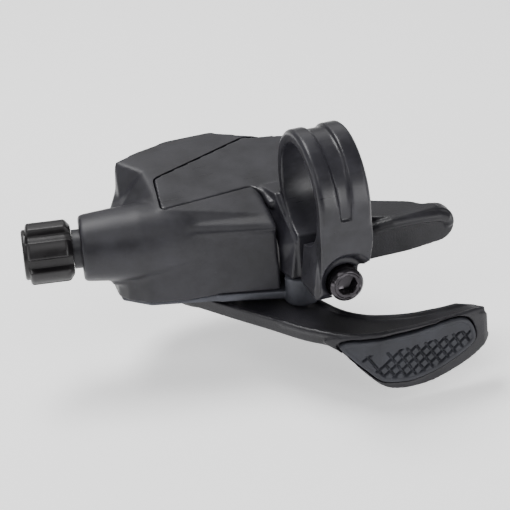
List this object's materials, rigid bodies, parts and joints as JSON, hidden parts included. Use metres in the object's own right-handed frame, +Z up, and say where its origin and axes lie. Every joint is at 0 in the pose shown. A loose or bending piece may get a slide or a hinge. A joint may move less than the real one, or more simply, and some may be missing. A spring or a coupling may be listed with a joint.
{
  "type": "thumb shifter",
  "caption": "Right-hand thumb shifter for a flat handlebar, with hinged bar clamp, textured thumb lever, release lever, cable spool and barrel adjuster.",
  "frame": {"origin": "centre of the handlebar clamp's bore", "axes": "+X along the handlebar towards the tips of the levers, +Y forwards, away from the rider, +Z up along the main axle"},
  "size_m": [0.093, 0.0637, 0.0552],
  "materials": {
    "moulded_black": "fine moulded grain, satin",
    "clamp_black": "satin powder coat on a cast aluminium bracket",
    "bolt_black": "glossy black oxide",
    "plate_grey": "bead blasted, grey anodised",
    "lever_black": "sandblasted and black anodised",
    "grip_rubber": "matte moulded rubber",
    "plug_rubber": "matte",
    "seal_rubber": "matte",
    "knob_black": "semi-gloss",
    "barrel_grey": "turned, anodised",
    "steel": "ground and zinc plated",
    "spring_steel": "drawn wire",
    "spool_plastic": "moulded acetal",
    "bush_brass": "machined"
  },
  "bodies": {
    "shifter_body": {"clamp_bracket": "clamp_black", "clamp_bolt": "bolt_black", "main_housing": "moulded_black", "cable_plug": "plug_rubber", "base_plate": "plate_grey", "bridge_plate": "steel", "plate_pillars": "steel", "bridge_screws": "steel", "housing_screws": "steel", "bracket_screw": "steel", "main_axle": "steel", "axle_nut": "steel", "axle_spacer": "steel", "bearing_inner_race": "steel", "hold_pawl_pin": "steel", "hold_pawl_spring": "spring_steel", "release_pin": "steel", "release_spring": "spring_steel", "neck_insert": "bush_brass", "spool_spring": "spring_steel", "lever_return_spring": "spring_steel", "adjuster_spring": "spring_steel"},
    "main_lever": {"main_lever": "lever_black", "lever_grip_pad": "grip_rubber", "bearing_outer_race": "steel", "bearing_balls": "steel", "bearing_seals": "seal_rubber", "drive_stud": "steel", "drive_stud_clip": "spring_steel", "drive_pawl_spring": "spring_steel"},
    "drive_pawl": {"drive_pawl": "steel"},
    "cable_spool": {"cable_spool": "spool_plastic", "spool_bush": "bush_brass", "drive_ratchet": "steel", "index_ratchet": "steel"},
    "hold_pawl": {"hold_pawl": "steel"},
    "release_lever": {"release_lever": "lever_black"},
    "adjuster_collar": {"adjuster_collar": "moulded_black"},
    "adjuster_knob": {"adjuster_knob": "knob_black", "adjuster_barrel": "barrel_grey"}
  },
  "joints": [
    {"name": "main_lever_turn", "type": "hinge", "parent": "shifter_body", "child": "main_lever", "pos_m": [-0.018, 0.0275, -0.0295], "axis": [0, 0, 1], "range_deg": [0, 54], "stiffness_Nm_per_rad": 0.16, "springref_deg": -20.05},
    {"name": "drive_pawl_swing", "type": "hinge", "parent": "main_lever", "child": "drive_pawl", "pos_m": [-0.01706, 0.01403, -0.022], "axis": [0, 0, 1], "range_deg": [0, 12.5], "stiffness_Nm_per_rad": 0.0002, "springref_deg": -11.46},
    {"name": "spool_turn", "type": "hinge", "parent": "shifter_body", "child": "cable_spool", "pos_m": [-0.018, 0.0275, -0.0131], "axis": [0, 0, 1], "range_deg": [0, 162]},
    {"name": "release_lever_turn", "type": "hinge", "parent": "shifter_body", "child": "release_lever", "pos_m": [-0.0025, 0.0305, -0.0138], "axis": [0, 0, 1], "range_deg": [0, 15], "stiffness_Nm_per_rad": 0.1, "springref_deg": -11.46},
    {"name": "hold_pawl_swing", "type": "hinge", "parent": "shifter_body", "child": "hold_pawl", "pos_m": [-0.00932, 0.03784, -0.0205], "axis": [0, 0, 1], "range_deg": [-9, 0]},
    {"name": "adjuster_feed", "type": "slide", "parent": "shifter_body", "child": "adjuster_collar", "axis": [-0.9803, 0.1977, 0], "range_m": [0, 0.0024]},
    {"name": "adjuster_turn", "type": "hinge", "parent": "adjuster_collar", "child": "adjuster_knob", "pos_m": [-0.0484, 0.0233, -0.0131], "axis": [-0.9803, 0.1977, 0], "range_deg": [0, 1081]}
  ],
  "couplings": [
    {"joint": "adjuster_turn", "follows": "adjuster_feed", "rad_per_m": 7854},
    {"joint": "hold_pawl_swing", "follows": "release_lever_turn", "ratio": -0.6}
  ]
}
